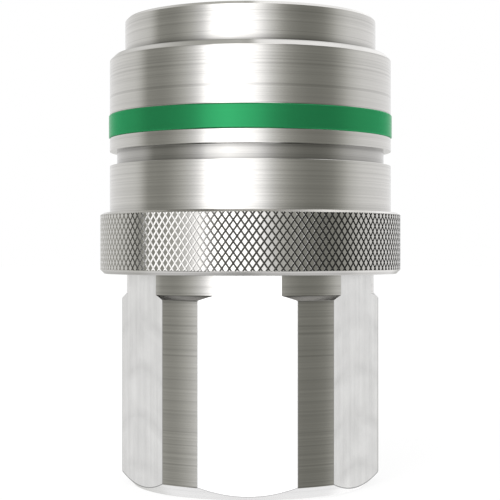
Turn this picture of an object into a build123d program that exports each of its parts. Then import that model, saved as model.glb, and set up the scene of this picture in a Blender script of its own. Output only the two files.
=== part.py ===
from build123d import *

import math
import os

# A non-drip coupling, the socket half: a hexagonal rear body with a female pipe thread, a round
# front body that takes the plug, a spring-loaded locking sleeve over a ring of balls, and a
# flat-faced valve. The origin is the centre of the hexagon's end face, and +Z runs along the axis
# to the plug end. All sizes are in millimetres, and heights are measured from the end face.

# The plug that the socket takes
plug_diameter = 31.0
plug_clearance = 0.05

# Lock balls and the holes that they sit in
ball_count = 12
ball_diameter = 4.0
ball_reach = 0.76
ball_play = 0.16
ball_hole_clearance = 0.06
ball_seat_clearance = 0.09
ball_lift_spare = 0.02
ball_hole_overrun = 1.0
ball_plane_depth = 15.5

# Front body, outside and mouth
nose_length = 5.55
nose_chamfer = 0.4
mouth_chamfer = 1.0
collar_bore_step = 0.45
collar_bore_depth = 12.5
flange_height = 1.6
flange_clearance = 0.2

# Locking sleeve, its outside
sleeve_travel = 3.0
sleeve_wall = 1.18
sleeve_front_chamfer = 0.75
grip_step = 1.42
grip_height = 8.95
grip_bottom_round = 0.6
grip_above_shoulder = 2.9
grip_top_chamfer_height = 0.35
grip_top_chamfer_width = 0.6
finger_groove_depth = 1.08
finger_groove_width = 2.15
finger_groove_below_front = 16.45
finger_groove_round = 0.3
sleeve_entry_chamfer = 0.4

# Locking sleeve, its inside
sleeve_slide_clearance = 0.07
land_below_balls = 8.0
land_past_balls = 0.2
release_clearance = 0.18
release_spare = 0.3
front_rib_height = 1.9
front_recess_depth = 0.7
stop_gap = 0.05

# Colour ring in its groove in the sleeve
colour_ring_proud = 0.15
colour_ring_thickness = 0.93
colour_ring_width = 3.4
colour_ring_edge = 0.12
colour_ring_below_front = 12.3
colour_ring_opening = 0.8
ring_fit = 0.02

# Retaining ring of round wire that keeps the sleeve on the front body
retaining_wire = 1.0
retaining_ring_depth = 0.5
retaining_ring_opening = 3.0

# Sleeve spring and the washer that it pushes on
washer_thickness = 0.8
washer_clearance = 0.08
washer_shelf = 1.18
washer_stop_step = 0.4
sleeve_spring_wire = 1.2
sleeve_spring_turns = 4.5
sleeve_spring_length = 10.0
sleeve_spring_side_gap = 0.35

# Rear body, turned from hexagonal bar
neck_side_gap = 1.38
neck_height = 5.1
neck_edge = 0.4
shoulder_step = 0.7
shoulder_chamfer = 0.7
flat_depth = 1.32
hex_height = 27.8
end_chamfer = 1.8

# Female pipe thread in the rear body
port_major_diameter = 26.44
port_minor_diameter = 24.12
port_mouth_diameter = 27.0
port_depth = 16.5
port_relief_height = 1.8
port_relief_depth = 0.2
throat_height = 5.5
throat_step = 0.6
throat_cone_height = 1.2

# Screwed joint between the rear body and the front body
joint_wall = 2.12
pilot_step = 0.6
pilot_height = 4.5
tail_wall = 2.1
joint_seal_cord = 1.2
joint_seal_height = 2.6
still_clearance = 0.05

# Seal between the plug and the front body
plug_seal_cord = 1.9
backup_ring_width = 1.1
seal_below_valve_face = 1.1
seal_clearance = 0.03
backup_ring_clearance = 0.01
seal_end_play = 0.1

# Valve sleeve
valve_face_below_balls = 2.6
valve_travel = 7.0
valve_land_length = 7.5
valve_skirt_length = 10.0
valve_skirt_wall = 0.95
valve_lip_step = 1.6
valve_lip_height = 3.7
valve_step_chamfer = 0.44
valve_edge_chamfer = 0.25

# Valve spring
valve_spring_wire = 1.2
valve_spring_turns = 8.0
valve_spring_inner_gap = 0.25
valve_spring_outer_gap = 0.2

# Valve stem with its flat head
stem_clearance = 0.05
stem_head_rim = 0.6
stem_seat_width = 0.9
stem_shaft_diameter = 6.4
stem_collar_step = 1.4
stem_collar_height = 2.0
stem_thread_diameter = 6.0
stem_tail_length = 5.0
stem_cone_height = 4.9
stem_seal_cord = 1.06
stem_seal_below_seat = 1.3

# Spider that carries the stem, and the nut under it
spider_height = 2.5
spider_hub_step = 0.4
spider_spoke_width = 2.6
spider_spoke_count = 3
nut_across_flats = 10.0
nut_height = 3.8
nut_round_width = 0.92
nut_round_height = 0.46

# Radii from the plug's bore outwards
plug_bore_radius = plug_diameter / 2 + plug_clearance
collar_radius = plug_bore_radius + collar_bore_step
ball_radius = ball_diameter / 2
ball_orbit = plug_bore_radius - ball_reach + ball_radius
ball_lift = ball_reach + ball_lift_spare
land_radius = ball_orbit + ball_radius + ball_play
nose_radius = land_radius - sleeve_slide_clearance
release_depth = ball_lift - ball_play + release_clearance
release_radius = land_radius + release_depth
front_recess_radius = land_radius + front_recess_depth
washer_way_radius = nose_radius - washer_shelf
waist_radius = washer_way_radius + washer_stop_step
chamber_radius = waist_radius + sleeve_spring_wire + 2 * sleeve_spring_side_gap
flange_radius = chamber_radius - flange_clearance
sleeve_radius = chamber_radius + sleeve_wall
grip_radius = sleeve_radius + grip_step
ring_outer_radius = sleeve_radius + colour_ring_proud
ring_seat_radius = ring_outer_radius - colour_ring_thickness
plug_seal_floor = plug_bore_radius - seal_clearance + plug_seal_cord + ring_fit

# Radii of the rear body, and from its joint inwards
neck_radius = chamber_radius - neck_side_gap
bar_radius = neck_radius + shoulder_step
across_flats = 2 * (bar_radius - flat_depth)
joint_radius = neck_radius - joint_wall
pilot_radius = joint_radius - pilot_step
pilot_bore_radius = pilot_radius + still_clearance
tail_bore_radius = pilot_radius - tail_wall
valve_spring_inner = tail_bore_radius - valve_spring_outer_gap - valve_spring_wire
skirt_radius = valve_spring_inner - valve_spring_inner_gap
valve_bore_radius = skirt_radius - valve_skirt_wall
lip_radius = valve_bore_radius - valve_lip_step
stem_head_radius = lip_radius - stem_clearance * 2
spider_bore_radius = skirt_radius + still_clearance
throat_radius = spider_bore_radius - throat_step

# Heights along the axis, from the end face up
shoulder_top = hex_height + shoulder_chamfer
neck_top = shoulder_top + neck_height
spider_seat = port_depth + throat_height
spider_top = spider_seat + spider_height
pilot_top = spider_top + pilot_height
flange_top = neck_top + flange_height
washer_bottom = flange_top + sleeve_spring_length
land_bottom = washer_bottom + washer_thickness
washer_way_bottom = washer_bottom - sleeve_travel - stop_gap
washer_way_top = land_bottom + 2 * stop_gap
ball_plane = land_bottom + land_below_balls
land_top = ball_plane + land_past_balls
release_top = ball_plane + sleeve_travel + ball_radius + release_spare
rib_top = release_top + front_rib_height
overall_length = ball_plane + ball_plane_depth
sleeve_bottom = shoulder_top + grip_above_shoulder
sleeve_top = overall_length - nose_length
valve_face = ball_plane - valve_face_below_balls
valve_land_bottom = valve_face - valve_land_length
valve_step = valve_land_bottom - valve_travel - 2 * stop_gap
plug_seal_top = valve_face - seal_below_valve_face
plug_seal_bottom = plug_seal_top - plug_seal_cord - backup_ring_width - seal_end_play


def turned(*outline):
    """A solid of revolution about the Z axis, from (radius, height) corners in order."""
    section = make_face(Polyline(*outline, close=True))
    return revolve(Plane.XZ * section, Axis.Z)


def round_ring(middle_radius, cord_radius, height):
    """A ring of round section about the Z axis."""
    return Pos(0, 0, height) * Torus(middle_radius, cord_radius)


def coil(middle_radius, wire, turns, bottom, top):
    """A compression spring that just fills the space between the given heights."""
    rise = top - bottom - wire
    path = Pos(0, 0, bottom + wire / 2) * Helix(pitch=rise / turns, height=rise, radius=middle_radius)
    start = Plane(path @ 0, z_dir=path % 0)
    return sweep(start * Circle(wire / 2), path=path, is_frenet=True)


def make_rear_body():
    """The hexagonal body, with the pipe thread's bore below and the joint's bore above."""
    mouth_height = (port_mouth_diameter - port_minor_diameter) / 2
    relief_radius = port_major_diameter / 2 + port_relief_depth
    relief_bottom = port_depth - port_relief_height
    blend = relief_radius - port_minor_diameter / 2
    round_form = turned(
        (port_mouth_diameter / 2, 0),
        (bar_radius - end_chamfer, 0),
        (bar_radius, end_chamfer),
        (bar_radius, hex_height),
        (neck_radius, shoulder_top),
        (neck_radius, neck_top - neck_edge),
        (neck_radius - neck_edge, neck_top),
        (joint_radius + neck_edge, neck_top),
        (joint_radius, neck_top - neck_edge),
        (joint_radius, pilot_top),
        (pilot_bore_radius, pilot_top - (joint_radius - pilot_bore_radius)),
        (pilot_bore_radius, spider_seat),
        (spider_bore_radius, spider_seat),
        (throat_radius, spider_seat - throat_cone_height),
        (throat_radius, port_depth),
        (relief_radius, port_depth),
        (relief_radius, relief_bottom),
        (port_minor_diameter / 2, relief_bottom - blend),
        (port_minor_diameter / 2, mouth_height),
    )
    hexagon = RegularPolygon(across_flats / 2, 6, major_radius=False)
    return round_form & extrude(hexagon, neck_top)


def make_front_body():
    """The round body that takes the plug, with its tail screwed into the rear body."""
    seal_floor = pilot_radius - joint_seal_cord
    seal_bottom = spider_top + joint_seal_height - joint_seal_cord / 2 - ring_fit
    seal_top = seal_bottom + joint_seal_cord + 2 * ring_fit
    ring_floor = nose_radius - retaining_ring_depth - ring_fit
    ring_bottom = rib_top + stop_gap - ring_fit
    ring_top = rib_top + stop_gap + retaining_wire + ring_fit
    step = nose_radius - washer_way_radius
    collar_floor = overall_length - collar_bore_depth
    body = turned(
        (collar_radius + mouth_chamfer, overall_length),
        (nose_radius - nose_chamfer, overall_length),
        (nose_radius, overall_length - nose_chamfer),
        (nose_radius, ring_top),
        (ring_floor, ring_top),
        (ring_floor, ring_bottom),
        (nose_radius, ring_bottom),
        (nose_radius, washer_way_top + step / 2),
        (nose_radius - step / 2, washer_way_top),
        (washer_way_radius, washer_way_top),
        (washer_way_radius, washer_way_bottom),
        (waist_radius, washer_way_bottom),
        (waist_radius, flange_top),
        (flange_radius, flange_top),
        (flange_radius, neck_top),
        (joint_radius - still_clearance, neck_top),
        (joint_radius - still_clearance, pilot_top + joint_radius - pilot_radius),
        (pilot_radius, pilot_top),
        (pilot_radius, seal_top),
        (seal_floor, seal_top),
        (seal_floor, seal_bottom),
        (pilot_radius, seal_bottom),
        (pilot_radius, spider_top),
        (tail_bore_radius, spider_top),
        (tail_bore_radius, valve_step - valve_step_chamfer),
        (tail_bore_radius + valve_step_chamfer, valve_step),
        (plug_bore_radius, valve_step),
        (plug_bore_radius, plug_seal_bottom),
        (plug_seal_floor, plug_seal_bottom),
        (plug_seal_floor, plug_seal_top),
        (plug_bore_radius, plug_seal_top),
        (plug_bore_radius, collar_floor - (collar_radius - plug_bore_radius)),
        (collar_radius, collar_floor),
        (collar_radius, overall_length - 2 * mouth_chamfer),
    )
    return body - ball_holes()


def ball_holes():
    """The radial holes for the balls, each narrowed towards the bore so that its ball stays in."""
    hole_radius = ball_radius + ball_hole_clearance
    # The 45 degree seat keeps its clearance from a ball that is pushed right in
    seat_tip = ball_orbit - (ball_radius + ball_seat_clearance / 2) * math.sqrt(2)
    seat_top = seat_tip + hole_radius
    inner = plug_bore_radius - ball_hole_overrun
    outer = nose_radius + ball_hole_overrun
    hole = turned(
        (0, inner),
        (inner - seat_tip, inner),
        (hole_radius, seat_top),
        (hole_radius, outer),
        (0, outer),
    )
    turn = 360 / ball_count
    return [
        Pos(0, 0, ball_plane) * Rot(0, 0, number * turn) * Rot(0, 90, 0) * hole
        for number in range(ball_count)
    ]


def make_ball(number):
    """One lock ball, pushed in to where it holds the plug."""
    turn = 360 / ball_count
    return Pos(0, 0, ball_plane) * Rot(0, 0, number * turn) * Pos(ball_orbit, 0, 0) * Sphere(ball_radius)


def make_locking_sleeve():
    """The sleeve with its knurled grip band, finger groove, colour ring groove and inner lands."""
    groove_floor = sleeve_radius - finger_groove_depth
    groove_top = sleeve_top - finger_groove_below_front + finger_groove_width
    groove_bottom = sleeve_top - finger_groove_below_front
    ring_bottom = sleeve_top - colour_ring_below_front - ring_fit
    ring_top = sleeve_top - colour_ring_below_front + colour_ring_width + ring_fit
    grip_top = sleeve_bottom + grip_height
    entry = sleeve_entry_chamfer
    body = turned(
        (chamber_radius + entry, sleeve_bottom),
        (grip_radius - grip_bottom_round, sleeve_bottom),
        (grip_radius - grip_bottom_round / 3, sleeve_bottom + grip_bottom_round / 3),
        (grip_radius, sleeve_bottom + grip_bottom_round),
        (grip_radius, grip_top - grip_top_chamfer_height),
        (grip_radius - grip_top_chamfer_width, grip_top),
        (sleeve_radius, grip_top),
        (sleeve_radius, groove_bottom),
        (groove_floor, groove_bottom),
        (groove_floor, groove_top),
        (sleeve_radius, groove_top),
        (sleeve_radius, ring_bottom),
        (ring_seat_radius, ring_bottom),
        (ring_seat_radius, ring_top),
        (sleeve_radius, ring_top),
        (sleeve_radius, sleeve_top - sleeve_front_chamfer),
        (sleeve_radius - sleeve_front_chamfer, sleeve_top),
        (front_recess_radius, sleeve_top),
        (front_recess_radius, rib_top),
        (land_radius, rib_top),
        (land_radius, release_top + release_depth),
        (release_radius, release_top),
        (release_radius, land_top + release_depth),
        (land_radius, land_top),
        (land_radius, land_bottom),
        (chamber_radius, land_bottom),
        (chamber_radius, sleeve_bottom + entry),
    )
    corners = [
        edge
        for edge in body.edges().filter_by(GeomType.CIRCLE)
        if abs(edge.radius - groove_floor) < 0.001
    ]
    return fillet(corners, min(finger_groove_round, finger_groove_width / 3))


def make_colour_ring():
    """The split ring that marks the line's colour, sprung into its groove and a little proud of it."""
    bottom = sleeve_top - colour_ring_below_front
    outer = ring_outer_radius
    edge = colour_ring_edge
    ring = turned(
        (ring_seat_radius + ring_fit, bottom),
        (outer - edge, bottom),
        (outer, bottom + edge),
        (outer, bottom + colour_ring_width - edge),
        (outer - edge, bottom + colour_ring_width),
        (ring_seat_radius + ring_fit, bottom + colour_ring_width),
    )
    opening = Pos(0, outer, bottom) * Box(colour_ring_opening, outer, 3 * colour_ring_width)
    return ring - opening


def make_spring_washer():
    """The thrust washer between the sleeve spring and the sleeve."""
    inner = washer_way_radius + washer_clearance
    outer = chamber_radius - 2 * washer_clearance
    return turned(
        (inner, washer_bottom),
        (outer, washer_bottom),
        (outer, land_bottom),
        (inner, land_bottom),
    )


def make_sleeve_spring():
    """The spring that pushes the locking sleeve forward."""
    middle = (waist_radius + chamber_radius) / 2
    return coil(middle, sleeve_spring_wire, sleeve_spring_turns, flange_top, washer_bottom)


def make_retaining_ring():
    """The split wire ring that stops the sleeve at its front end."""
    middle = nose_radius - retaining_ring_depth + retaining_wire / 2
    ring = round_ring(middle, retaining_wire / 2, rib_top + stop_gap + retaining_wire / 2)
    opening = Pos(0, middle, rib_top) * Box(retaining_ring_opening, 4 * retaining_wire, 6 * retaining_wire)
    return ring - opening


def make_joint_seal():
    """The O-ring between the front body's pilot and the rear body."""
    cord_radius = joint_seal_cord / 2
    return round_ring(pilot_radius - cord_radius + ring_fit, cord_radius, spider_top + joint_seal_height)


def make_plug_seal():
    """The O-ring that seals on the valve sleeve, and on the plug once that is in."""
    cord_radius = plug_seal_cord / 2
    middle = plug_seal_floor - ring_fit - cord_radius
    return round_ring(middle, cord_radius, plug_seal_bottom + ring_fit + cord_radius)


def make_backup_ring():
    """The flat ring that backs the plug seal on its outer side."""
    inner = plug_bore_radius - backup_ring_clearance
    outer = plug_seal_floor - ring_fit
    top = plug_seal_top - ring_fit
    return turned(
        (inner, top - backup_ring_width),
        (outer, top - backup_ring_width),
        (outer, top),
        (inner, top),
    )


def make_valve_sleeve():
    """The sliding flat-faced valve sleeve, which the plug pushes back to let the coolant through."""
    land = plug_diameter / 2
    bore_radius = valve_bore_radius
    seat_radius = lip_radius + stem_seat_width
    seat_top = valve_face - stem_head_rim
    seat_bottom = seat_top - stem_seat_width
    lip_bottom = valve_face - valve_lip_height
    flare = bore_radius - lip_radius
    skirt_bottom = valve_land_bottom - valve_skirt_length
    return turned(
        (seat_radius, valve_face),
        (land - valve_edge_chamfer, valve_face),
        (land, valve_face - valve_edge_chamfer),
        (land, valve_land_bottom + valve_edge_chamfer),
        (land - valve_edge_chamfer, valve_land_bottom),
        (skirt_radius, valve_land_bottom),
        (skirt_radius, skirt_bottom),
        (bore_radius + valve_edge_chamfer, skirt_bottom),
        (bore_radius, skirt_bottom + valve_edge_chamfer),
        (bore_radius, lip_bottom - flare),
        (lip_radius, lip_bottom),
        (lip_radius, seat_bottom),
        (seat_radius, seat_top),
    )


def make_valve_spring():
    """The spring that closes the valve."""
    middle = valve_spring_inner + valve_spring_wire / 2
    return coil(middle, valve_spring_wire, valve_spring_turns, spider_top, valve_land_bottom)


def make_stem():
    """The fixed valve stem: a flat head, a sealed land, a cone, a shaft, a collar and a threaded tail."""
    seal_radius = stem_seal_cord / 2
    seat_top = valve_face - stem_head_rim
    seat_bottom = seat_top - stem_seat_width
    rim_radius = lip_radius + stem_seat_width - stem_clearance
    seal_height = seat_bottom - stem_seal_below_seat
    groove_floor = stem_head_radius - stem_seal_cord
    head_bottom = valve_face - valve_lip_height - ring_fit
    shaft_radius = stem_shaft_diameter / 2
    collar_radius = shaft_radius + stem_collar_step
    tail_radius = stem_thread_diameter / 2
    tail_bottom = spider_seat - stem_tail_length
    return turned(
        (0, valve_face),
        (rim_radius, valve_face),
        (rim_radius, seat_top + stem_clearance),
        (stem_head_radius, seat_bottom + stem_clearance),
        (stem_head_radius, seal_height + seal_radius + ring_fit),
        (groove_floor, seal_height + seal_radius + ring_fit),
        (groove_floor, seal_height - seal_radius - ring_fit),
        (stem_head_radius, seal_height - seal_radius - ring_fit),
        (stem_head_radius, head_bottom),
        (shaft_radius, head_bottom - stem_cone_height),
        (shaft_radius, spider_top + stem_collar_height),
        (collar_radius, spider_top + stem_collar_height),
        (collar_radius, spider_top),
        (tail_radius, spider_top),
        (tail_radius, tail_bottom),
        (0, tail_bottom),
    )


def make_stem_seal():
    """The O-ring on the stem's head, which closes the gap to the valve sleeve's lip."""
    cord_radius = stem_seal_cord / 2
    height = valve_face - stem_head_rim - stem_seat_width - stem_seal_below_seat
    return round_ring(stem_head_radius - cord_radius + ring_fit, cord_radius, height)


def make_stem_spider():
    """The spoked ring, clamped between the two bodies, that holds the stem in the flow."""
    ring = turned(
        (spider_bore_radius, spider_seat),
        (pilot_radius, spider_seat),
        (pilot_radius, spider_top),
        (spider_bore_radius, spider_top),
    )
    low = (Align.CENTER, Align.CENTER, Align.MIN)
    hub_radius = stem_shaft_diameter / 2 + stem_collar_step + spider_hub_step
    hub = Pos(0, 0, spider_seat) * Cylinder(hub_radius, spider_height, align=low)
    reach = (spider_bore_radius + pilot_radius) / 2
    spoke = Pos(0, 0, spider_seat) * Box(
        reach, spider_spoke_width, spider_height, align=(Align.MIN, Align.CENTER, Align.MIN)
    )
    spider = ring + hub
    for number in range(spider_spoke_count):
        spider += Rot(0, 0, 90 + number * 360 / spider_spoke_count) * spoke
    bore = stem_thread_diameter / 2 + ring_fit
    return spider - Pos(0, 0, spider_seat) * Cylinder(bore, spider_height, align=low)


def make_stem_nut():
    """The hexagon nut that holds the stem down on the spider."""
    nut = Pos(0, 0, spider_seat - nut_height) * extrude(
        RegularPolygon(nut_across_flats / 2, 6, major_radius=False), nut_height
    )
    corner = nut_across_flats / math.sqrt(3)
    rounded = turned(
        (0, spider_seat - nut_height),
        (corner - nut_round_width, spider_seat - nut_height),
        (corner, spider_seat - nut_height + nut_round_height),
        (corner, spider_seat),
        (0, spider_seat),
    )
    bore = Pos(0, 0, spider_seat - nut_height / 2) * Cylinder(
        stem_thread_diameter / 2 + ring_fit, 2 * nut_height
    )
    return (nut & rounded) - bore


pieces = {
    "rear_body": make_rear_body(),
    "front_body": make_front_body(),
    "joint_seal": make_joint_seal(),
    "locking_sleeve": make_locking_sleeve(),
    "colour_ring": make_colour_ring(),
    "spring_washer": make_spring_washer(),
    "sleeve_spring": make_sleeve_spring(),
    "retaining_ring": make_retaining_ring(),
    "plug_seal": make_plug_seal(),
    "backup_ring": make_backup_ring(),
    "valve_sleeve": make_valve_sleeve(),
    "valve_spring": make_valve_spring(),
    "valve_stem": make_stem(),
    "stem_seal": make_stem_seal(),
    "stem_spider": make_stem_spider(),
    "stem_nut": make_stem_nut(),
}
for number in range(ball_count):
    pieces[f"lock_ball_{number + 1:02d}"] = make_ball(number)

os.makedirs("parts", exist_ok=True)
for name, piece in pieces.items():
    export_step(piece, f"parts/{name}.step")
    print(name, round(piece.volume, 3))
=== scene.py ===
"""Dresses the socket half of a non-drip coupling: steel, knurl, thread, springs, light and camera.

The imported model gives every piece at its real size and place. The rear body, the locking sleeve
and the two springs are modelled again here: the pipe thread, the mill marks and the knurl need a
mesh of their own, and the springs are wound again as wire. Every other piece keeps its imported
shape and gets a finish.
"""

from __future__ import annotations

import logging
import math
from dataclasses import dataclass, field
from enum import Enum
from typing import Any, Sequence

import bmesh
import bpy
from mathutils import Matrix, Vector

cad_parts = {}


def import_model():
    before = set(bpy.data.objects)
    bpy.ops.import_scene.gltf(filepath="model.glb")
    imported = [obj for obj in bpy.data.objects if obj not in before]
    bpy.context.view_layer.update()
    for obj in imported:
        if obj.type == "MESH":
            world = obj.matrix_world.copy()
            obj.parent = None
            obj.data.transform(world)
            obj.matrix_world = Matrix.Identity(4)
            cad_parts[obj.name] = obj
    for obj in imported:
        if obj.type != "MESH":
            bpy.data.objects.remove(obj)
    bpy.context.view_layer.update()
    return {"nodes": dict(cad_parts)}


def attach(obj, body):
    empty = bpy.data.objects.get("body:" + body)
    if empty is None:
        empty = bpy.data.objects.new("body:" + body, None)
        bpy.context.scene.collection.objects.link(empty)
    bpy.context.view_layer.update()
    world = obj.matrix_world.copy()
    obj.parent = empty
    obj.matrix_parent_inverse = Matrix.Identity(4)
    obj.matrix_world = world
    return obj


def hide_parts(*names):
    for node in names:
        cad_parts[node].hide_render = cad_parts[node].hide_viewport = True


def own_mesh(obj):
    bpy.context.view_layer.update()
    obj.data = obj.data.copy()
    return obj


log = logging.getLogger("coupling")

MM = 0.001
AXIS = Vector((0, 0, 1))
ORIGIN = Vector((0, 0, 0))
SMOOTH_LIMIT = math.radians(8)
ON_PLANE = 0.00001
SAME_POINT = 0.0001

Outline = list[tuple[float, float]]
Levels = tuple[tuple[float, float], ...]
Colour = tuple[float, float, float]

STEEL: Colour = (0.80, 0.79, 0.765)
# The colour of the painted shade bands.
BAND_SHADE: Colour = (0.02, 0.02, 0.018)
# Oil and painted shade at the bottoms of the knurl's cuts.
OIL_AND_SHADE: Colour = (0.03, 0.03, 0.028)
GROOVE: Colour = (0.05, 0.05, 0.045)
# The colour of the painted shade in the sleeve's recess.
RECESS_SHADOW: Colour = (0.05, 0.05, 0.05)
# The colour of the painted shade line along the flats' edges.
EDGE_SHADE: Colour = (0.36, 0.36, 0.36)


class Body(Enum):
    """The bodies that pieces ride on."""

    FIXED = "body"
    SLEEVE = "sleeve"


class Slot(Enum):
    """Material slot names, which no piece here takes."""

    BODY = "steel_body"
    SLEEVE = "steel_sleeve"
    SPRING = "spring_steel"


class Signal:
    """A shader socket that adds Math nodes when it is used in an expression."""

    def __init__(self, graph: Graph, socket: bpy.types.NodeSocket) -> None:
        """Keeps the graph and the socket.

        Args:
            graph: The node graph that the socket belongs to.
            socket: The output socket.
        """
        self.graph = graph
        self.socket = socket

    def _maths(self, operation: str, first: Any, second: Any) -> Signal:
        """Adds one Math node and gives its output."""
        return self.graph.node("ShaderNodeMath", {"operation": operation}, {0: first, 1: second})

    def __add__(self, other: Any) -> Signal:
        """self + other."""
        return self._maths("ADD", self, other)

    def __radd__(self, other: Any) -> Signal:
        """other + self."""
        return self._maths("ADD", other, self)

    def __sub__(self, other: Any) -> Signal:
        """self - other."""
        return self._maths("SUBTRACT", self, other)

    def __rsub__(self, other: Any) -> Signal:
        """other - self."""
        return self._maths("SUBTRACT", other, self)

    def __mul__(self, other: Any) -> Signal:
        """self * other."""
        return self._maths("MULTIPLY", self, other)

    def __rmul__(self, other: Any) -> Signal:
        """other * self."""
        return self._maths("MULTIPLY", other, self)

    def __truediv__(self, other: Any) -> Signal:
        """self / other."""
        return self._maths("DIVIDE", self, other)

    def __rtruediv__(self, other: Any) -> Signal:
        """other / self."""
        return self._maths("DIVIDE", other, self)

    def __lt__(self, other: Any) -> Signal:
        """1 where self < other, otherwise 0."""
        return self._maths("LESS_THAN", self, other)

    def __gt__(self, other: Any) -> Signal:
        """1 where self > other, otherwise 0."""
        return self._maths("GREATER_THAN", self, other)

    def __abs__(self) -> Signal:
        """abs(self)."""
        return self.graph.node("ShaderNodeMath", {"operation": "ABSOLUTE"}, {0: self})

    def clamped(self) -> Signal:
        """The signal kept from 0 to 1."""
        settings = {"operation": "ADD", "use_clamp": True}
        return self.graph.node("ShaderNodeMath", settings, {0: self, 1: 0.0})


class Graph:
    """A node tree with one method that adds any node."""

    def __init__(self, tree: bpy.types.NodeTree) -> None:
        """Empties the tree and keeps it.

        Args:
            tree: The material's or the world's node tree.
        """
        self.tree = tree
        tree.nodes.clear()

    def node(
        self,
        kind: str,
        settings: dict[str, Any] | None = None,
        inputs: dict[Any, Any] | None = None,
        output: int | str = 0,
    ) -> Signal:
        """Adds a node, with its settings made before its sockets are filled.

        Args:
            kind: The node's type name.
            settings: Attributes of the node; "stops" holds a ramp's (position, colour) pairs.
            inputs: Values or signals by socket name or number.
            output: The output socket to give back.

        Returns:
            The chosen output as a signal.
        """
        made = self.tree.nodes.new(kind)
        for name, value in (settings or {}).items():
            if name == "stops":
                self._fill_ramp(made.color_ramp, value)
            else:
                setattr(made, name, value)
        for name, value in (inputs or {}).items():
            if isinstance(value, Signal):
                self.tree.links.new(value.socket, made.inputs[name])
            else:
                made.inputs[name].default_value = value
        return Signal(self, made.outputs[output]) if len(made.outputs) else Signal(self, None)

    @staticmethod
    def _fill_ramp(ramp: bpy.types.ColorRamp, stops: Sequence[tuple[float, Colour]]) -> None:
        """Gives a ramp its stops in place of its two default ones.

        Args:
            ramp: The ramp of a new node.
            stops: (position, linear RGB) pairs in order of position.
        """
        while len(ramp.elements) > 1:
            ramp.elements.remove(ramp.elements[-1])
        first_place, first_colour = stops[0]
        ramp.elements[0].position = first_place
        ramp.elements[0].color = (*first_colour, 1)
        for place, colour in stops[1:]:
            ramp.elements.new(place).color = (*colour, 1)

    def mix_colour(self, amount: Any, first: Colour | Signal, second: Colour | Signal) -> Signal:
        """Mixes two colours by a signal.

        Args:
            amount: 0 gives the first colour, 1 the second.
            first: Linear RGB, or a colour signal.
            second: Linear RGB, or a colour signal.

        Returns:
            The mixed colour.
        """
        settings = {"data_type": "RGBA", "clamp_factor": True}
        first, second = (
            colour if isinstance(colour, Signal) else (*colour, 1) for colour in (first, second)
        )
        return self.node("ShaderNodeMix", settings, {0: amount, 6: first, 7: second}, output=2)

    def mix_shader(self, amount: Any, first: Signal, second: Signal) -> Signal:
        """Mixes two shaders: an amount of 0 gives the first, 1 the second."""
        return self.node("ShaderNodeMixShader", {}, {0: amount, 1: first, 2: second})

    def axis(self, place: Signal, name: str) -> Signal:
        """One coordinate, X, Y or Z, of a vector."""
        return self.node("ShaderNodeSeparateXYZ", {}, {0: place}, output=name)

    def stretched(self, place: Signal, scale: tuple[float, float, float]) -> Signal:
        """A vector with each of its coordinates scaled."""
        return self.node("ShaderNodeMapping", {}, {"Vector": place, "Scale": scale})

    def noise(self, place: Signal, scale: float, detail: float) -> Signal:
        """Noise from 0 to 1 over a vector."""
        inputs = {"Vector": place, "Scale": scale, "Detail": detail}
        return self.node("ShaderNodeTexNoise", {}, inputs)

    def bump(self, height: Signal, distance: float, strength: float) -> Signal:
        """Turns a height signal into a normal.

        Args:
            height: The height, 0 to 1.
            distance: What a height of 1 stands for, in metres.
            strength: The node's strength.

        Returns:
            The bumped normal.
        """
        inputs = {"Height": height, "Distance": distance, "Strength": strength}
        return self.node("ShaderNodeBump", {}, inputs)


@dataclass(frozen=True)
class Finish:
    """A finish with one Principled shader, whose subclasses fill its varying sockets."""

    name: str
    colour: Colour
    roughness: float
    metallic: float = 1.0
    edge_tint: Colour = (1.0, 1.0, 1.0)
    gloss: float = 0.5

    def build(self) -> bpy.types.Material:
        """Makes the material.

        Returns:
            The new material.
        """
        material = bpy.data.materials.new(self.name)
        material.use_nodes = True
        graph = Graph(material.node_tree)
        settings = {
            "Base Color": (*self.colour, 1),
            "Roughness": self.roughness,
            "Metallic": self.metallic,
            "Specular Tint": (*self.edge_tint, 1),
            "Specular IOR Level": self.gloss,
        }
        settings.update(self.detail(graph))
        shader = graph.node("ShaderNodeBsdfPrincipled", {}, settings)
        graph.node("ShaderNodeOutputMaterial", {}, {"Surface": shader})
        return material

    def detail(self, graph: Graph) -> dict[str, Any]:
        """Gives the sockets that vary over the surface; a plain finish has none."""
        return {}

    def darkened(self, share: float) -> Colour:
        """The finish's colour with a share of it taken away."""
        return tuple(part * (1 - share) for part in self.colour)

    @staticmethod
    def place(graph: Graph) -> Signal:
        """The point on the piece, in metres."""
        return graph.node("ShaderNodeTexCoord", {}, {}, output="Object")

    @staticmethod
    def radius(graph: Graph, place: Signal) -> Signal:
        """The distance from the axis.

        Args:
            graph: The material's graph.
            place: The point on the piece.

        Returns:
            The distance in metres.
        """
        inputs = {0: place, 1: (1, 1, 0)}
        flat = graph.node("ShaderNodeVectorMath", {"operation": "MULTIPLY"}, inputs)
        return graph.node("ShaderNodeVectorMath", {"operation": "LENGTH"}, {0: flat}, "Value")

    @staticmethod
    def turning_line(graph: Graph, place: Signal, pitch: float, detail: float) -> Signal:
        """Noise that changes only along the axis and the radius, as a turned piece's tool marks do.

        Args:
            graph: The material's graph.
            place: The point on the piece.
            pitch: The marks' spacing in metres.
            detail: The noise's detail.

        Returns:
            Marks from 0 to 1.
        """
        along = (graph.axis(place, "Z") + Finish.radius(graph, place)) / pitch
        inputs = {"W": along, "Scale": 1.0, "Detail": detail}
        return graph.node("ShaderNodeTexNoise", {"noise_dimensions": "1D"}, inputs)


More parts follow.
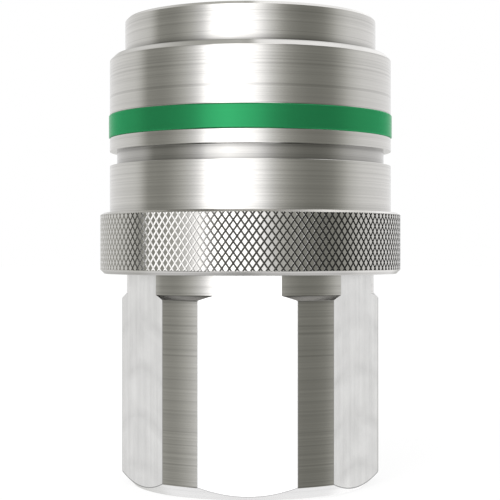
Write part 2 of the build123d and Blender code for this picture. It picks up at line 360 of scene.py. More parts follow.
@dataclass(frozen=True)
class ShadeBand:
    """A band round the axis painted darker as shade, darkest at one edge and fading from it."""

    edge: float
    fade: float
    depth: float

    def mask(self, height: Signal) -> Signal:
        """How much the band darkens at a height; a negative fade runs down from the edge.

        Args:
            height: The height in metres.

        Returns:
            0 outside the band, rising to the band's depth at its edge.
        """
        travel = (height - self.edge * MM) / (self.fade * MM)
        return (1.0 - travel).clamped() * (travel > 0.0) * self.depth


@dataclass(frozen=True)
class TurnedSteel(Finish):
    """Stainless steel with fine tool marks that run round the axis."""

    mark_pitch: float = 0.00035
    mark_height: float = 0.000004
    mark_strength: float = 0.35
    broad_ratio: float = 7.0
    groove_ratio: float = 1.7
    groove_level: float = 0.41
    streak_scale: tuple[float, float, float] = (60, 60, 2600)
    shade: float = 0.15
    roughness_spread: float = 0.08
    bands: tuple[ShadeBand, ...] = ()
    # Inside these radii the recess and the bore are painted darker as shade; the bore is also made
    # rougher.
    recess_radius: float = 0.0
    recess_shade: float = 0.16
    bore_radius: float = 0.0
    bore_shade_colour: Colour = (0.42, 0.415, 0.40)
    bore_dullness: float = 0.16

    def detail(self, graph: Graph) -> dict[str, Any]:
        """Tool marks in colour, roughness and normal, painted shade bands, and painted shade in the
        recess and the rougher bore.

        Args:
            graph: The material's graph.

        Returns:
            The varying sockets' signals by name.
        """
        place = self.place(graph)
        fine = self.turning_line(graph, place, self.mark_pitch, 3.0)
        broad = self.turning_line(graph, place, self.mark_pitch * self.broad_ratio, 1.0)
        sharp = self.turning_line(graph, place, self.mark_pitch * self.groove_ratio, 2.0)
        streak = graph.noise(graph.stretched(place, self.streak_scale), 1.0, 2.0)
        marks = fine * 0.6 + broad * 0.15 + streak * 0.25
        colour = graph.mix_colour((marks - 0.35) * 3.3, self.darkened(self.shade), self.colour)
        grooves = ((self.groove_level - sharp) * 10.0).clamped()
        colour = graph.mix_colour(grooves * self.shade, colour, GROOVE)
        roughness = (marks - 0.5) * self.roughness_spread + self.roughness
        height = graph.axis(place, "Z")
        # Bands of painted shade, broken up by the streaks.
        for band in self.bands:
            colour = graph.mix_colour(band.mask(height) * (0.8 + streak * 0.4), colour, BAND_SHADE)
        radius = self.radius(graph, place)
        # Painted shade: the recess and the bore are darkened.
        if self.recess_radius:
            recess = radius < self.recess_radius * MM
            colour = graph.mix_colour(recess * self.recess_shade, colour, RECESS_SHADOW)
        if self.bore_radius:
            inside = radius < self.bore_radius * MM
            colour = graph.mix_colour(inside, colour, self.bore_shade_colour)
            roughness = roughness + inside * self.bore_dullness
        return {
            "Base Color": colour,
            "Roughness": roughness,
            "Normal": graph.bump(marks, self.mark_height, self.mark_strength),
        }


@dataclass(frozen=True)
class MilledSteel(Finish):
    """Stainless steel flats with the faint overlapping arcs of an end mill."""

    shade: float = 0.22
    cloud_scale: float = 180.0
    fine_scale: float = 2500.0
    wipe_scale: tuple[float, float, float] = (900, 45, 1)
    arc_step: float = 0.007
    arc_bow: float = 40.0
    arc_wander: float = 0.0016
    arc_sharpness: float = 4.5
    arc_shade: float = 0.35
    mark_height: float = 0.000002
    mark_strength: float = 0.3
    end_radius: float = 17.52
    end_width: float = 0.135
    half_width: float = 7.02
    side_width: float = 0.1

    def detail(self, graph: Graph) -> dict[str, Any]:
        """Clouds, wipes and broken arches from the flats' own map, and a dark line of painted shade
        at the edges.

        Args:
            graph: The material's graph.

        Returns:
            The varying sockets' signals by name.
        """
        place = graph.node("ShaderNodeUVMap", {"uv_map": "flat"}, {})
        across = graph.axis(place, "X")
        cloud = graph.noise(place, self.cloud_scale, 3.0)
        fine = graph.noise(place, self.fine_scale, 2.0)
        wipe = graph.noise(graph.stretched(place, self.wipe_scale), 1.0, 1.0)
        up = graph.axis(place, "Y")
        turns = (up + across * across * self.arc_bow + cloud * self.arc_wander) / self.arc_step
        near = graph.node("ShaderNodeMath", {"operation": "PINGPONG"}, {0: turns, 1: 0.5})
        arch = (1.0 - near * self.arc_sharpness).clamped() * ((cloud - 0.40) * 4.0).clamped()
        marks = cloud * 0.6 + wipe * 0.4 + fine * 0.08 - arch * self.arc_shade
        colour = graph.mix_colour((marks - 0.3) * 2.2, self.darkened(self.shade), self.colour)
        # A dark line of painted shade along the flats' edges.
        point = self.place(graph)
        above_end = graph.axis(point, "Z") - self.radius(graph, point) + self.end_radius * MM
        at_side = abs(across) > (self.half_width - self.side_width) * MM
        edge = (above_end < self.end_width * MM) + at_side
        return {
            "Base Color": graph.mix_colour(edge, colour, EDGE_SHADE),
            "Roughness": (marks - 0.5) * 0.08 + self.roughness,
            "Normal": graph.bump(marks, self.mark_height, self.mark_strength),
        }


@dataclass(frozen=True)
class GrainedFinish(Finish):
    """Any finish that needs no more than an even fine grain."""

    grain_size: float = 0.0002
    grain_height: float = 0.000004
    grain_strength: float = 0.4
    shade: float = 0.15
    roughness_spread: float = 0.12

    def detail(self, graph: Graph) -> dict[str, Any]:
        """An even grain in colour, roughness and normal.

        Args:
            graph: The material's graph.

        Returns:
            The varying sockets' signals by name.
        """
        grain = graph.noise(self.place(graph), 1 / self.grain_size, 3.0)
        return {
            "Base Color": graph.mix_colour(grain, self.darkened(self.shade), self.colour),
            "Roughness": (grain - 0.5) * self.roughness_spread + self.roughness,
            "Normal": graph.bump(grain, self.grain_height, self.grain_strength),
        }


@dataclass(frozen=True)
class KnurledSteel(GrainedFinish):
    """Stainless steel whose knurl is darker towards the bottoms of its cuts."""

    surface_radius: float = 22.6
    cut_depth: float = 0.106
    cut_shade: float = 0.3

    def detail(self, graph: Graph) -> dict[str, Any]:
        """The even grain, with the cuts darker towards their bottoms: oil and painted shade.

        Args:
            graph: The material's graph.

        Returns:
            The varying sockets' signals by name.
        """
        sockets = super().detail(graph)
        radius = self.radius(graph, self.place(graph))
        # The cuts darken towards their bottoms: partly oil, partly painted shade.
        depth = ((self.surface_radius * MM - radius) / (self.cut_depth * MM)).clamped()
        sockets["Base Color"] = graph.mix_colour(depth * self.cut_shade, sockets["Base Color"], OIL_AND_SHADE)
        return sockets


@dataclass
class Workshop:
    """All the finishes of the coupling, each made once."""

    # Every band below is painted shade: under the body's shoulder, on the nose above the sleeve, at
    # the sleeve's groove, above the knurl and at the knurl's lower chamfer.
    bar: Finish = TurnedSteel("turned_bar", STEEL, 0.16, bands=(ShadeBand(28.52, -1.3, 0.65),))
    # The body's end chamfer, painted lighter than the bar as a reflection of the pale floor.
    lit_end: Finish = TurnedSteel("lit_end_steel", (0.93, 0.93, 0.925), 0.2, shade=0.05)
    nose: Finish = TurnedSteel(
        "turned_nose", STEEL, 0.16, bands=(ShadeBand(63.9, 1.3, 0.6), ShadeBand(64.0, 0.5, 0.3)),
        bore_radius=17.6,
    )
    sleeve: Finish = TurnedSteel(
        "turned_sleeve", STEEL, 0.16,
        bands=(
            ShadeBand(47.5, 1.3, 0.45), ShadeBand(49.65, -1.3, 0.45), ShadeBand(40.5, 1.4, 0.12),
            ShadeBand(31.3, 0.9, 0.35),
        ),
        # Painted shade in the groove's recess and in the bore.
        recess_radius=20.6, bore_radius=20.05,
    )
    # The flats are painted lighter than the turned steel of the same body, to stand in for light.
    milled: Finish = MilledSteel("milled_steel", (0.99, 0.99, 0.985), 0.24)
    knurled: Finish = KnurledSteel("knurled_steel", STEEL, 0.18, shade=0.08)
    # The knurl's clockwise-facing cut walls, painted near-black as shade.
    shaded_walls: Finish = GrainedFinish("shaded_wall_steel", (0.05, 0.05, 0.047), 0.3, shade=0.3)
    ground: Finish = TurnedSteel("ground_steel", (0.74, 0.735, 0.72), 0.28, mark_pitch=0.0002)
    polished: Finish = GrainedFinish("polished_steel", (0.83, 0.83, 0.83), 0.08, shade=0.05)
    wire: Finish = GrainedFinish("drawn_wire", (0.62, 0.62, 0.61), 0.3)
    dyed: Finish = TurnedSteel(
        "dyed_green", (0.027, 0.284, 0.102), 0.21, metallic=0.6, shade=0.06,
        edge_tint=(0.4, 1.0, 0.65), gloss=0.1,
    )
    rubber: Finish = GrainedFinish("seal_rubber", (0.02, 0.02, 0.021), 0.55, metallic=0.0)
    plastic: Finish = GrainedFinish(
        "white_plastic", (0.82, 0.81, 0.77), 0.4, metallic=0.0, shade=0.06
    )
    made: dict[str, bpy.types.Material] = field(default_factory=dict)

    def get(self, finish: Finish) -> bpy.types.Material:
        """Gives a finish's material, made the first time that it is asked for.

        Args:
            finish: One of the finishes above.

        Returns:
            Its material.
        """
        if finish.name not in self.made:
            self.made[finish.name] = finish.build()
        return self.made[finish.name]


def eased_outline(corners: Outline, ease: float, steps: int = 2) -> Outline:
    """Rounds every corner of a closed outline a little, by bevelling a flat face's corners.

    Args:
        corners: (radius, height) pairs in order, in millimetres.
        ease: How far from each corner the rounding starts.
        steps: The number of short edges in each rounding.

    Returns:
        The rounded outline, starting near the first corner.
    """
    mesh = bmesh.new()
    points = [mesh.verts.new((radius, 0, height)) for radius, height in corners]
    mesh.faces.new(points)
    bmesh.ops.bevel(
        mesh, geom=mesh.verts[:], offset=ease, offset_type="OFFSET", segments=steps, profile=0.5,
        affect="VERTICES", clamp_overlap=True, material=-1,
    )
    mesh.faces.ensure_lookup_table()
    rounded = [(loop.vert.co.x, loop.vert.co.z) for loop in mesh.faces[0].loops]
    mesh.free()
    first = Vector(corners[0])
    start = min(range(len(rounded)), key=lambda place: (Vector(rounded[place]) - first).length)
    turned = rounded[start:] + rounded[:start]
    second = Vector(corners[1])
    if (Vector(turned[-steps - 2]) - second).length < (Vector(turned[steps + 2]) - second).length:
        turned = [turned[0]] + turned[:0:-1]
    return turned


def draw_outline(mesh: bmesh.types.BMesh, outline: Outline) -> list[Any]:
    """Draws a closed outline beside the axis.

    Args:
        mesh: The mesh to draw in.
        outline: (radius, height) pairs in order, in millimetres.

    Returns:
        The outline's points and edges.
    """
    points = [mesh.verts.new((radius, 0, height)) for radius, height in outline]
    return points + [mesh.edges.new(pair) for pair in zip(points, points[1:] + points[:1])]


def spin_outline(outline: Outline, steps: int) -> bmesh.types.BMesh:
    """Spins a closed outline once round the axis.

    Args:
        outline: (radius, height) pairs in order, in millimetres.
        steps: The number of facets round the axis.

    Returns:
        The closed mesh, with its faces outwards.
    """
    mesh = bmesh.new()
    bmesh.ops.spin(
        mesh, geom=draw_outline(mesh, outline), cent=ORIGIN, axis=AXIS, angle=math.tau, steps=steps,
        use_merge=True, use_duplicate=False,
    )
    bmesh.ops.remove_doubles(mesh, verts=mesh.verts[:], dist=SAME_POINT)
    bmesh.ops.recalc_face_normals(mesh, faces=mesh.faces[:])
    return mesh


def cut_away(mesh: bmesh.types.BMesh, place: Vector, outward: Vector) -> list[bmesh.types.BMEdge]:
    """Cuts off all that lies beyond a plane.

    Args:
        mesh: The mesh to cut.
        place: A point on the plane.
        outward: The direction in which everything is cut off.

    Returns:
        The edges of the cut.
    """
    everything = mesh.verts[:] + mesh.edges[:] + mesh.faces[:]
    cut = bmesh.ops.bisect_plane(
        mesh, geom=everything, dist=ON_PLANE, plane_co=place, plane_no=outward, clear_outer=True,
        clear_inner=False,
    )
    return [part for part in cut["geom_cut"] if isinstance(part, bmesh.types.BMEdge)]


def finish_piece(
    mesh: bmesh.types.BMesh,
    name: str,
    materials: Sequence[bpy.types.Material],
    body: Body,
    replaced: Sequence[str] = (),
    smooth_limit: float = SMOOTH_LIMIT,
) -> bpy.types.Object:
    """Turns a mesh in millimetres into a piece in metres that rides on its body.

    Args:
        mesh: The finished mesh, which is freed.
        name: The piece's name.
        materials: Its materials, in the order of its faces' numbers.
        body: The body that it moves with.
        replaced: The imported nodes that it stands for.
        smooth_limit: The angle from which an edge is sharp.

    Returns:
        The new object.
    """
    bmesh.ops.scale(mesh, vec=(MM, MM, MM), verts=mesh.verts[:])
    for edge in mesh.edges:
        edge.smooth = len(edge.link_faces) == 2 and edge.calc_face_angle(math.pi) < smooth_limit
    for face in mesh.faces:
        face.smooth = True
    data = bpy.data.meshes.new(name)
    mesh.to_mesh(data)
    mesh.free()
    for material in materials:
        data.materials.append(material)
    piece = bpy.data.objects.new(name, data)
    bpy.context.scene.collection.objects.link(piece)
    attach(piece, body.value)
    if replaced:
        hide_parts(*replaced)
    log.info("%s: %d faces on %s", name, len(data.polygons), body.value)
    return piece


@dataclass
class RearBody:
    """The hexagonal body with its milled flats and its female pipe thread."""

    workshop: Workshop
    facets: int = 240
    bar_radius: float = 19.32
    neck_radius: float = 18.62
    flat_distance: float = 18.0
    hex_height: float = 27.8
    shoulder_top: float = 28.5
    top: float = 33.6
    end_chamfer: float = 1.8
    joint_radius: float = 16.5
    pilot_radius: float = 15.95
    pilot_top: float = 29.0
    pilot_chamfer: float = 0.55
    seat_height: float = 22.0
    seat_radius: float = 12.2
    seat_cone: float = 1.2
    throat_radius: float = 11.6
    port_depth: float = 16.5
    relief_radius: float = 13.42
    relief_bottom: float = 14.7
    relief_lead: float = 0.2
    thread_root_radius: float = 13.22
    thread_crest_radius: float = 12.06
    thread_pitch: float = 1.814
    root_share: float = 0.46
    crest_share: float = 0.1
    thread_overlap: float = 0.05
    thread_clearance: float = 0.02
    thread_run_out: float = 0.9
    crest_round: float = 0.06
    steps_per_turn: int = 90
    mouth_radius: float = 13.5
    ease: float = 0.06
    end_facing: float = -0.3
    arc_start: float = 0.0023
    arc_step: float = 0.007

    def outline(self) -> Outline:
        """The turned form, from the mouth outwards and round to the thread's roots.

        Returns:
            (radius, height) pairs in order, in millimetres.
        """
        corners = [
            (self.mouth_radius, 0),
            (self.bar_radius - self.end_chamfer, 0),
            (self.bar_radius, self.end_chamfer),
            (self.bar_radius, self.hex_height),
            (self.neck_radius, self.shoulder_top),
            (self.neck_radius, self.top),
            (self.joint_radius, self.top),
            (self.joint_radius, self.pilot_top),
            (self.pilot_radius, self.pilot_top - self.pilot_chamfer),
            (self.pilot_radius, self.seat_height),
            (self.seat_radius, self.seat_height),
            (self.throat_radius, self.seat_height - self.seat_cone),
            (self.throat_radius, self.port_depth),
            (self.relief_radius, self.port_depth),
            (self.relief_radius, self.relief_bottom),
            (self.thread_root_radius, self.relief_bottom - self.relief_lead),
            (self.thread_root_radius, self.mouth_radius - self.thread_root_radius),
        ]
        return eased_outline(corners, self.ease)

    def mill_flats(self, mesh: bmesh.types.BMesh) -> None:
        """Cuts the six flats, closes them and gives them their own map and material number.

        Args:
            mesh: The turned form.
        """
        layer = mesh.loops.layers.uv.new("flat")
        for number in range(6):
            angle = math.radians(30 + 60 * number)
            outward = Vector((math.cos(angle), math.sin(angle), 0))
            sideways = Vector((-math.sin(angle), math.cos(angle), 0))
            rise = self.arc_start + self.arc_step * number
            rim = cut_away(mesh, outward * self.flat_distance, outward)
            for face in bmesh.ops.holes_fill(mesh, edges=rim, sides=0)["faces"]:
                face.material_index = 1
                for loop in face.loops:
                    place = loop.vert.co * MM
                    loop[layer].uv = (place.dot(sideways), place.z + rise)

    def make_thread(self) -> bmesh.types.BMesh:
        """Winds the thread's ridge and trims it to the mouth's chamfer.

        Returns:
            The closed ridge.
        """
        half_root = self.thread_pitch * self.root_share
        half_crest = self.thread_pitch * self.crest_share
        root = self.thread_root_radius + self.thread_overlap
        shoulder = self.thread_crest_radius + self.crest_round
        ridge = [
            (root, -half_root),
            (shoulder, -half_crest),
            (self.thread_crest_radius, 0),
            (shoulder, half_crest),
            (root, half_root),
        ]
        turns = (self.relief_bottom - self.thread_run_out) / self.thread_pitch
        steps = round(turns * self.steps_per_turn)
        mesh = bmesh.new()
        bmesh.ops.spin(
            mesh, geom=draw_outline(mesh, ridge), cent=ORIGIN, axis=AXIS,
            dvec=(0, 0, self.thread_pitch / self.steps_per_turn),
            angle=math.tau * steps / self.steps_per_turn, steps=steps, use_merge=False,
            use_duplicate=False,
        )
        bmesh.ops.holes_fill(mesh, edges=mesh.edges[:], sides=0)
        bmesh.ops.recalc_face_normals(mesh, faces=mesh.faces[:])
        for vert in mesh.verts:
            radius = math.hypot(vert.co.x, vert.co.y)
            least = self.mouth_radius - max(vert.co.z, 0) + self.thread_clearance
            vert.co.z = max(vert.co.z, self.thread_clearance)
            if radius < least:
                vert.co.x *= least / radius
                vert.co.y *= least / radius
        return mesh

    def build(self) -> None:
        """Makes the body and its thread."""
        mesh = spin_outline(self.outline(), self.facets)
        self.mill_flats(mesh)
        end_top = self.end_chamfer - self.ease
        # Faces of the end chamfer take the lighter finish: a painted reflection of the floor.
        for face in mesh.faces:
            at_end = face.normal.z < self.end_facing and face.calc_center_median().z < end_top
            if face.material_index == 0 and at_end:
                face.material_index = 2
        shop = self.workshop
        finishes = [shop.get(finish) for finish in (shop.bar, shop.milled, shop.lit_end)]
        finish_piece(mesh, "hexagon_body", finishes, Body.FIXED, ["rear_body"])
        finish_piece(
            self.make_thread(), "pipe_thread", [shop.get(shop.bar)], Body.FIXED
        )


@dataclass
class LockingSleeve:
    """The sleeve, with a diamond knurl between smooth turned lands."""

    workshop: Workshop
    bottom: float = 31.4
    grip_radius: float = 22.6
    knurl_bottom: float = 32.0
    knurl_top: float = 40.15
    grip_top: float = 40.5
    grip_chamfer: float = 0.6
    bottom_round: float = 0.6
    radius: float = 21.18
    top: float = 63.95
    front_chamfer: float = 0.75
    groove_bottom: float = 47.5
    groove_top: float = 49.65
    groove_radius: float = 20.1
    ring_bottom: float = 51.63
    ring_top: float = 55.07
    ring_radius: float = 20.4
    front_recess_radius: float = 19.65
    rib_top: float = 61.2
    land_radius: float = 18.95
    release_radius: float = 19.75
    release_top: float = 59.3
    land_top: float = 54.2
    land_bottom: float = 46.0
    chamber_radius: float = 20.0
    chamber_chamfer: float = 0.4
    recess_slope: float = 0.8
    ease: float = 0.05
    diamonds_round: int = 135
    diamond_height: float = 1.476
    cut_width: float = 0.26
    cut_depth: float = 0.106
    cut_lean: float = 0.0425
    corner_weld: float = 0.001
    column_weld: float = 0.002
    # Cut walls that face further clockwise than this are painted near-black as shade.
    shaded_facing: float = -0.3

    def outline(self) -> Outline:
        """The turned form from the knurl's top edge over the front and back to below the knurl.

        Returns:
            (radius, height) pairs in order, in millimetres.
        """
        corners = [
            (self.grip_radius, self.knurl_top),
            (self.grip_radius - self.grip_chamfer, self.grip_top),
            (self.radius, self.grip_top),
            (self.radius, self.groove_bottom),
            (self.groove_radius, self.groove_bottom),
            (self.groove_radius, self.groove_top),
            (self.radius, self.groove_top),
            (self.radius, self.ring_bottom),
            (self.ring_radius, self.ring_bottom),
            (self.ring_radius, self.ring_top),
            (self.radius, self.ring_top),
            (self.radius, self.top - self.front_chamfer),
            (self.radius - self.front_chamfer, self.top),
            (self.front_recess_radius, self.top),
            (self.front_recess_radius, self.rib_top),
            (self.land_radius, self.rib_top),
            (self.land_radius, self.release_top + self.recess_slope),
            (self.release_radius, self.release_top),
            (self.release_radius, self.land_top + self.recess_slope),
            (self.land_radius, self.land_top),
            (self.land_radius, self.land_bottom),
            (self.chamber_radius, self.land_bottom),
            (self.chamber_radius, self.bottom + self.chamber_chamfer),
            (self.chamber_radius + self.chamber_chamfer, self.bottom),
            (self.grip_radius - self.bottom_round, self.bottom),
            (self.grip_radius, self.knurl_bottom),
        ]
        return eased_outline(corners, self.ease)

    def knurl(self) -> bmesh.types.BMesh:
        """Makes one column of diamonds, cuts it by insets, bends it and repeats it round the axis.

        Returns:
            The knurled band, open at both ends.
        """
        mesh = bmesh.new()
        width = math.tau * self.grip_radius / self.diamonds_round
        middle = (self.knurl_bottom + self.knurl_top) / 2
        rows = math.ceil((self.knurl_top - self.knurl_bottom) / self.diamond_height) + 1
        for half_step in range(-rows, rows + 1):
            side = width / 2 * (half_step % 2)
            height = middle + half_step * self.diamond_height / 2
            corners = [
                (side - width / 2, 0, height),
                (side, 0, height - self.diamond_height / 2),
                (side + width / 2, 0, height),
                (side, 0, height + self.diamond_height / 2),
            ]
            mesh.faces.new([mesh.verts.new(corner) for corner in corners])
        bmesh.ops.remove_doubles(mesh, verts=mesh.verts[:], dist=self.corner_weld)
        bottoms = mesh.verts[:]
        bmesh.ops.inset_individual(
            mesh, faces=mesh.faces[:], thickness=self.cut_width / 2, depth=0, use_even_offset=True
        )
        for vert in bottoms:
            vert.co.y = self.cut_depth
            vert.co.x += self.cut_lean
        for level, up in ((self.knurl_bottom, -1), (self.knurl_top, 1)):
            cut_away(mesh, Vector((0, 0, level)), AXIS * up)
        for vert in mesh.verts:
            angle = vert.co.x / self.grip_radius
            radius = self.grip_radius - vert.co.y
            vert.co = (radius * math.cos(angle), radius * math.sin(angle), vert.co.z)
        repeats = self.diamonds_round - 1
        bmesh.ops.spin(
            mesh, geom=mesh.verts[:] + mesh.edges[:] + mesh.faces[:], cent=ORIGIN, axis=AXIS,
            angle=math.tau * repeats / self.diamonds_round, steps=repeats, use_merge=False,
            use_duplicate=True,
        )
        bmesh.ops.remove_doubles(mesh, verts=mesh.verts[:], dist=self.column_weld)
        for face in mesh.faces:
            face.material_index = 1
        return mesh

    def close_round(self, mesh: bmesh.types.BMesh) -> None:
        """Draws the turned form out of the knurl's top edge and joins it to the bottom edge.

        Args:
            mesh: The knurled band.
        """
        rim = [edge for edge in mesh.edges if edge.is_boundary]
        middle = (self.knurl_bottom + self.knurl_top) / 2
        upper = [edge for edge in rim if edge.verts[0].co.z > middle]
        lower = [edge for edge in rim if edge.verts[0].co.z < middle]
        knurled = set(mesh.faces)
        for radius, height in self.outline()[1:-1]:
            drawn = bmesh.ops.extrude_edge_only(mesh, edges=upper)["geom"]
            upper = [part for part in drawn if isinstance(part, bmesh.types.BMEdge)]
            for vert in (part for part in drawn if isinstance(part, bmesh.types.BMVert)):
                scale = radius / math.hypot(vert.co.x, vert.co.y)
                vert.co = (vert.co.x * scale, vert.co.y * scale, height)
        bmesh.ops.bridge_loops(mesh, edges=upper + lower)
        for face in set(mesh.faces) - knurled:
            face.material_index = 0

    def build(self) -> None:
        """Makes the sleeve as one mesh."""
        mesh = self.knurl()
        self.close_round(mesh)
        bmesh.ops.recalc_face_normals(mesh, faces=mesh.faces[:])
        # Cut walls that face clockwise take the near-black finish: painted shade.
        for face in mesh.faces:
            onward = AXIS.cross(face.calc_center_median()).normalized()
            if face.material_index == 1 and face.normal.dot(onward) < self.shaded_facing:
                face.material_index = 2
        shop = self.workshop
        finishes = [shop.get(finish) for finish in (shop.sleeve, shop.knurled, shop.shaded_walls)]
        finish_piece(mesh, "knurled_sleeve", finishes, Body.SLEEVE, ["locking_sleeve"])


@dataclass
class CompressionSpring:
    """A wire spring that stands on the fixed body."""

    workshop: Workshop
    name: str
    node: str
    joint: str
    travel: float
    middle_radius: float
    bottom: float
    top: float
    turns: float
    wire: float = 1.2
    sides: int = 16
    steps_per_turn: int = 60
    sharp_angle: float = math.radians(40)

    def build(self) -> None:
        """Winds the wire and closes its ends."""
        mesh = bmesh.new()
        place = Matrix.Translation((self.middle_radius, 0, self.bottom + self.wire / 2))
        upright = place @ Matrix.Rotation(math.pi / 2, 4, "X")
        bmesh.ops.create_circle(
            mesh, cap_ends=False, segments=self.sides, radius=self.wire / 2, matrix=upright
        )
        steps = round(self.turns * self.steps_per_turn)
        rise = self.top - self.bottom - self.wire
        bmesh.ops.spin(
            mesh, geom=mesh.verts[:] + mesh.edges[:], cent=ORIGIN, axis=AXIS,
            dvec=(0, 0, rise / steps), angle=math.tau * self.turns, steps=steps, use_merge=False,
            use_duplicate=False,
        )
        rims = [edge for edge in mesh.edges if edge.is_boundary]
        bmesh.ops.holes_fill(mesh, edges=rims, sides=0)
        bmesh.ops.recalc_face_normals(mesh, faces=mesh.faces[:])
        wire = [self.workshop.get(self.workshop.wire)]
        piece = finish_piece(
            mesh, self.name, wire, Body.FIXED, [self.node], self.sharp_angle
        )
        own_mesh(piece)


@dataclass
class PackedPieces:
    """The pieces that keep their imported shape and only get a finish."""

    workshop: Workshop
    nodes: dict[str, bpy.types.Object]

    def dress(self) -> None:
        """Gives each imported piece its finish."""
        shop = self.workshop
        finishes: dict[str, Finish] = {
            "front_body": shop.nose,
            "colour_ring": shop.dyed,
            "spring_washer": shop.ground,
            "retaining_ring": shop.wire,
            "plug_seal": shop.rubber,
            "joint_seal": shop.rubber,
            "stem_seal": shop.rubber,
            "backup_ring": shop.plastic,
            "valve_sleeve": shop.ground,
            "valve_stem": shop.ground,
            "stem_spider": shop.ground,
            "stem_nut": shop.ground,
        }
        for name, node in self.nodes.items():
            finish = shop.polished if name.startswith("lock_ball") else finishes.get(name)
            if finish is None:
                continue
            material = shop.get(finish)
            if not node.material_slots:
                node.data.materials.append(material)
            for slot in node.material_slots:
                slot.material = material
            log.info("%s: %s", name, finish.name)


@dataclass(frozen=True)
class Crossing:
    """Where one panorama gives way to another, by the height of a direction from -1 to 1."""

    start: float
    depth: float

    def share(self, height: Signal) -> Signal:
        """How much of the other panorama shows at a height, from 0 to 1."""
        return ((height - self.start) / self.depth).clamped()


SOFT_BOX: Levels = (
    (-43.2, 0.80), (-38.2, 1.15), (-35.4, 1.55), (-17, 2.20), (4, 1.50), (9, 1.25), (12.5, 1.00),
    (17.6, 0.70), (23.2, 0.51), (30, 0.36),
)
REAR_WALL: Levels = ((-180, 0.6), (-165, 0.6), (-150, 0.75), (-135, 0.7), (179, 0.7))


class Panorama(Enum):
    """The studio's brightness by the direction, in degrees to the right of the camera's back."""

    # All round at the height of the camera.
    LEVEL = (
        (-180, 0.93), (-160, 0.87), (-125, 0.74), (-104, 0.66), (-98, 0.56), (-92, 0.37),
        (-84, 0.275), (-74, 0.26), (-66, 0.30), (-58, 0.41), (-50.4, 0.56), *SOFT_BOX,
        (37, 0.28), (48, 0.22), (60, 0.215), (70, 0.25), (79, 0.39), (88, 0.58), (102, 0.73),
        (128, 0.81), (160, 0.90), (179, 0.93),
    )
    # Just below the horizon, where the left wall is paler.
    LOW = (
        (-180, 0.62), (-165, 0.62), (-150, 0.80), (-125, 0.79), (-104, 0.72), (-92, 0.56),
        (-84, 0.40), (-74, 0.325), (-66, 0.34), (-58, 0.44), (-50.4, 0.58), *SOFT_BOX,
        (37, 0.26), (48, 0.21), (60, 0.205), (70, 0.23), (79, 0.36), (88, 0.55), (102, 0.70),
        (125, 0.76), (150, 0.80), (165, 0.62), (179, 0.62),
    )
    # Well above and below the horizon, where only the lit panels show.
    STEEP = (
        *REAR_WALL, (-112, 0.58), (-100, 0.46), (-75, 0.42), (-60, 0.32), (-50, 0.1),
        (-34, 0.05), (-29, 1.8), (23, 1.8), (28, 0.7), (33, 0.1), (50, 0.08), (70, 0.2),
        (90, 0.4), (100, 1.15), (140, 1.1), (170, 1.1),
    )
    # Higher still, where the right wall's panel begins.
    HIGH = (
        *REAR_WALL, (-112, 0.5), (-60, 0.25), (-50, 0.05), (-34, 0.05), (-29, 1.35), (20, 1.35),
        (25, 0.6), (31, 0.1), (50, 0.1), (70, 1.1), (86, 1.4), (100, 1.3), (130, 1.0),
        (170, 1.0),
    )
    # The ceiling, brighter to the right.
    OVERHEAD = (
        (-180, 0.36), (-166, 0.42), (-158, 0.6), (-140, 0.5), (-122, 0.45), (-98, 0.55),
        (-80, 0.6), (-54, 0.44), (0, 0.36), (24, 0.4), (45, 0.95), (68, 1.2), (115, 0.9),
        (150, 1.1), (168, 1.2), (174, 0.5), (179, 0.36),
    )
    # The table, pale under the piece and dark in front of it.
    UNDERFOOT = ((-180, 0.9), (-95, 0.9), (-80, 0.05), (40, 0.05), (85, 0.9), (179, 0.9))


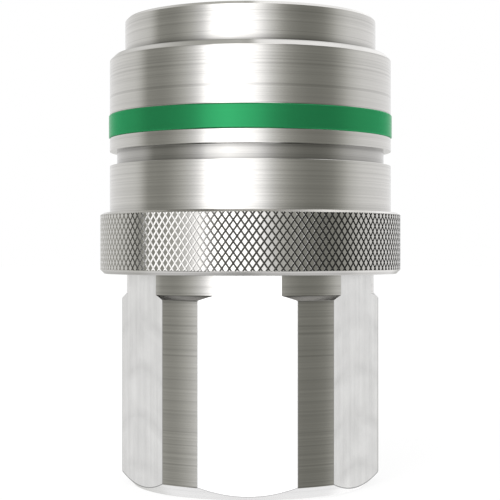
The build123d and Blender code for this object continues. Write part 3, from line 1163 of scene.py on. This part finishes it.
@dataclass
class Studio:
    """The floor, the soft light and the camera."""

    low_crossing: Crossing = Crossing(0.0, 0.13)
    steep_crossing: Crossing = Crossing(0.18, 0.14)
    high_crossing: Crossing = Crossing(0.54, 0.06)
    overhead_crossing: Crossing = Crossing(0.72, 0.15)
    underfoot_crossing: Crossing = Crossing(0.66, 0.08)
    floor_size: float = 3.0
    floor_glow: float = 1.1
    floor_glow_share: float = 0.75
    lamp_size: float = 0.5
    lamp_power: float = 2.2
    lamp_place: tuple[float, float, float] = (-0.35, -0.6, 0.55)
    lamp_target: tuple[float, float, float] = (0, 0, 0.035)
    camera_distance: float = 218.67
    camera_height: float = 34.7
    camera_azimuth: float = 1.25
    lens: float = 103.92
    shift_x: float = -0.0007
    shift_y: float = 0.0031

    @staticmethod
    def panorama(graph: Graph, turn: Signal, view: Panorama) -> Signal:
        """Makes a light whose brightness follows the azimuth, a little warmer where it is darker.

        Args:
            graph: The world's graph.
            turn: The azimuth, from 0 to 1 counter-clockwise from +X.
            view: The panorama to make.

        Returns:
            The background's shader.
        """
        top = max(level for _, level in view.value)
        stops = sorted(((0.25 + angle / 360) % 1.0, level / top) for angle, level in view.value)
        colours = [
            (place, (level, level * 0.995, level * min(1.0, 0.86 + level * top / 6)))
            for place, level in stops
        ]
        ramp = graph.node("ShaderNodeValToRGB", {"stops": colours}, {"Fac": turn})
        return graph.node("ShaderNodeBackground", {}, {"Color": ramp, "Strength": top})

    @staticmethod
    def plain(graph: Graph, colour: Colour) -> Signal:
        """A light of one colour all round."""
        return graph.node("ShaderNodeBackground", {}, {"Color": (*colour, 1), "Strength": 1.0})

    def make_world(self) -> None:
        """A pale world: white behind the piece, a soft box by the camera and grey side walls."""
        world = bpy.data.worlds.new("studio")
        world.use_nodes = True
        bpy.context.scene.world = world
        graph = Graph(world.node_tree)
        direction = graph.node("ShaderNodeTexCoord", {}, {}, "Generated")
        turn = graph.node(
            "ShaderNodeTexGradient", {"gradient_type": "RADIAL"}, {"Vector": direction}, 1
        )
        height = graph.axis(direction, "Z")
        drop = 0.0 - height
        blends = (
            (self.low_crossing.share(drop), Panorama.LOW),
            (self.steep_crossing.share(abs(height)), Panorama.STEEP),
            (self.high_crossing.share(height), Panorama.HIGH),
            (self.overhead_crossing.share(height), Panorama.OVERHEAD),
            (self.underfoot_crossing.share(drop), Panorama.UNDERFOOT),
        )
        around = self.panorama(graph, turn, Panorama.LEVEL)
        for share, view in blends:
            around = graph.mix_shader(share, around, self.panorama(graph, turn, view))
        soft = graph.node("ShaderNodeLightPath", {}, {}, "Is Diffuse Ray")
        lit = graph.mix_shader(soft, around, self.plain(graph, (0.8, 0.8, 0.8)))
        rays = graph.node("ShaderNodeLightPath", {}, {}, "Is Camera Ray")
        seen = graph.mix_shader(rays, lit, self.plain(graph, (1, 1, 1)))
        graph.node("ShaderNodeOutputWorld", {}, {"Surface": seen})

    def make_floor(self) -> None:
        """A plain white floor that keeps a soft shadow, and is clear from underneath."""
        mesh = bmesh.new()
        bmesh.ops.create_grid(mesh, x_segments=1, y_segments=1, size=self.floor_size)
        data = bpy.data.meshes.new("floor")
        mesh.to_mesh(data)
        mesh.free()
        floor = bpy.data.objects.new("floor", data)
        bpy.context.scene.collection.objects.link(floor)
        floor.visible_glossy = False
        material = bpy.data.materials.new("floor_white")
        material.use_nodes = True
        graph = Graph(material.node_tree)
        rays = graph.node("ShaderNodeLightPath", {}, {}, "Is Camera Ray")
        matt = graph.node("ShaderNodeBsdfDiffuse", {}, {"Color": (0.9, 0.9, 0.9, 1)})
        inputs = {"Color": (1, 1, 1, 1), "Strength": self.floor_glow}
        glow = graph.node("ShaderNodeEmission", {}, inputs)
        seen = graph.mix_shader(rays * self.floor_glow_share, matt, glow)
        under = graph.node("ShaderNodeNewGeometry", {}, {}, "Backfacing")
        clear = graph.node("ShaderNodeBsdfTransparent", {}, {})
        surface = graph.mix_shader(under, seen, clear)
        graph.node("ShaderNodeOutputMaterial", {}, {"Surface": surface})
        data.materials.append(material)

    def make_key_light(self) -> None:
        """A large soft lamp above and to the left of the camera, which mirrors don't see."""
        lamp = bpy.data.lights.new("key", "AREA")
        lamp.shape = "RECTANGLE"
        lamp.size = self.lamp_size
        lamp.size_y = self.lamp_size
        lamp.energy = self.lamp_power
        light = bpy.data.objects.new("key", lamp)
        bpy.context.scene.collection.objects.link(light)
        light.location = self.lamp_place
        aim = Vector(self.lamp_target) - light.location
        light.rotation_euler = aim.to_track_quat("-Z", "Y").to_euler()
        light.visible_glossy = False

    def make_camera(self) -> None:
        """A level camera at the photograph's distance, height and turn."""
        data = bpy.data.cameras.new("camera")
        data.lens = self.lens
        data.sensor_width = 36
        data.shift_x = self.shift_x
        data.shift_y = self.shift_y
        data.clip_start = 0.01
        data.clip_end = 20
        camera = bpy.data.objects.new("camera", data)
        bpy.context.scene.collection.objects.link(camera)
        angle = math.radians(self.camera_azimuth)
        distance = self.camera_distance * MM
        across, back = distance * math.sin(angle), distance * math.cos(angle)
        camera.location = (across, -back, self.camera_height * MM)
        camera.rotation_euler = (math.pi / 2, 0, angle)
        bpy.context.scene.camera = camera

    def build(self) -> None:
        """Makes the whole studio."""
        self.make_world()
        self.make_floor()
        self.make_key_light()
        self.make_camera()
        bpy.context.scene.view_settings.view_transform = "Standard"


def main() -> None:
    """Builds every part of the scene in order."""
    logging.basicConfig(level=logging.INFO, format="%(name)s %(message)s")
    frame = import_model()
    workshop = Workshop()
    RearBody(workshop).build()
    LockingSleeve(workshop).build()
    springs = (
        CompressionSpring(
            workshop, "sleeve_coil", "sleeve_spring", "sleeve_slide", travel=3.0,
            middle_radius=19.05, bottom=35.2, top=45.2, turns=4.5,
        ),
        CompressionSpring(
            workshop, "valve_coil", "valve_spring", "valve_slide", travel=7.0,
            middle_radius=13.0, bottom=24.5, top=43.9, turns=8.0,
        ),
    )
    for spring in springs:
        spring.build()
    PackedPieces(workshop, frame["nodes"]).dress()
    Studio().build()


if __name__ == "__main__":
    main()
